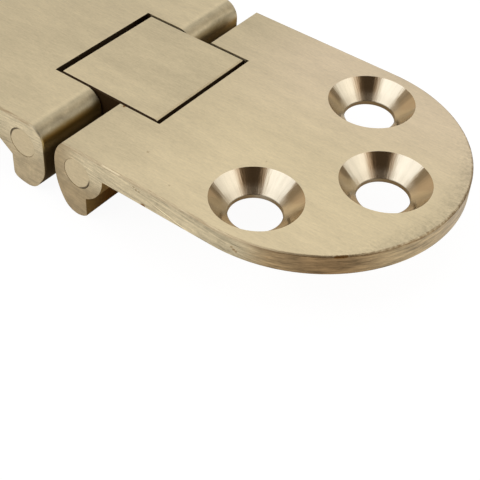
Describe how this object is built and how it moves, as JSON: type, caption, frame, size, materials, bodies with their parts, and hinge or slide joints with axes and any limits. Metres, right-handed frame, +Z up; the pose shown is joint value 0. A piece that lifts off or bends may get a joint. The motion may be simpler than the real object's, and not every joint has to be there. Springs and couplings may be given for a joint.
{
  "type": "folding table hinge",
  "caption": "Solid brass flap hinge for a folding table: two round-ended leaves turn on pins either side of a square link.",
  "frame": {"origin": "below the middle of the link, at the level of the feet of the ears", "axes": "+X along the open hinge towards the right leaf, +Y along the pins, +Z up out of the screw-head side"},
  "size_m": [0.0688, 0.03, 0.0078],
  "materials": {
    "satin_brass": "pale satin-brushed brass",
    "pin_brass": "drawn brass rod, ends dressed flush"
  },
  "bodies": {
    "left_half": {"left_leaf": "satin_brass", "left_pin": "pin_brass"},
    "middle": {"link": "satin_brass"},
    "right_half": {"right_leaf": "satin_brass", "right_pin": "pin_brass"}
  },
  "joints": [
    {"name": "left_fold", "type": "hinge", "parent": "left_half", "child": "middle", "pos_m": [-0.00355, 0, 0.0051], "axis": [0, -1, 0], "range_deg": [0, 90]},
    {"name": "right_fold", "type": "hinge", "parent": "middle", "child": "right_half", "pos_m": [0.00355, 0, 0.0051], "axis": [0, -1, 0], "range_deg": [0, 90]}
  ]
}
